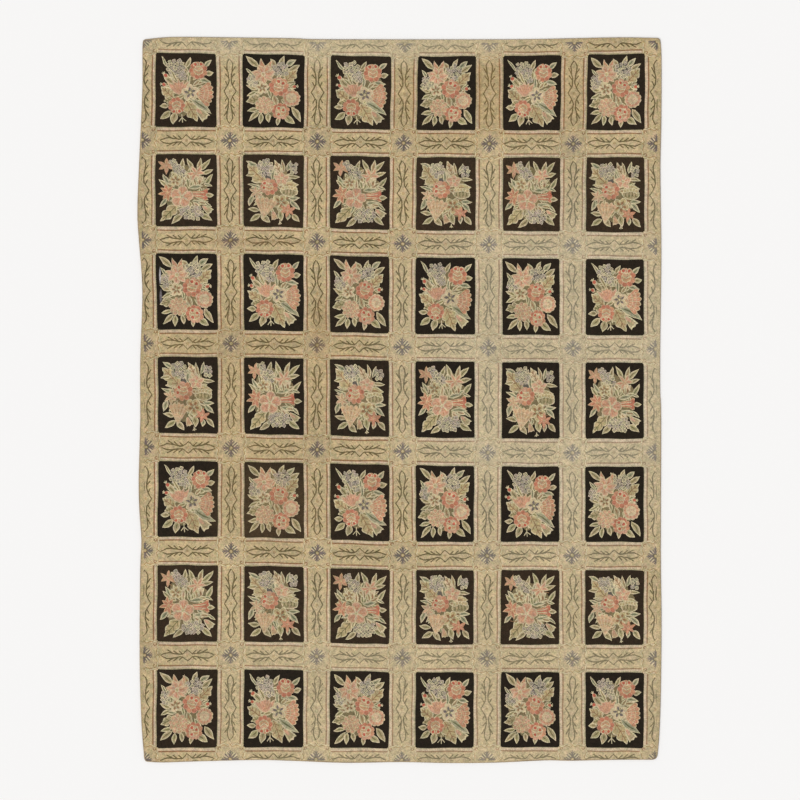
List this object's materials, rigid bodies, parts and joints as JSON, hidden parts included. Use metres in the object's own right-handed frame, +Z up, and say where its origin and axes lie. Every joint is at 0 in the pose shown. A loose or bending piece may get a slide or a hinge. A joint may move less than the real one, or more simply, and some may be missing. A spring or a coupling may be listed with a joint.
{
  "type": "hand-hooked rug",
  "caption": "Large hand-hooked wool rug lying flat: flower bouquets on black panels, set in a straw-coloured trellis with blue stars and olive sprigs.",
  "frame": {"origin": "on the floor under the middle of the rug's bounding box", "axes": "+X across the rug, +Y along the rug to the end at the top of the picture, +Z up out of the pile"},
  "size_m": [2.7612, 3.8246, 0.009],
  "materials": {
    "pile_wool": "matt wool loop pile, straw-coloured ground",
    "panel_wool": "matt wool loop pile, faded black field with flowers in rose, peach, sage and grey-blue",
    "edging_yarn": "matt wool yarn, whipped over the turned edge",
    "foundation_cloth": "matt plain-woven natural cloth"
  },
  "bodies": {
    "root": {"rug": "pile_wool"}
  },
  "joints": []
}
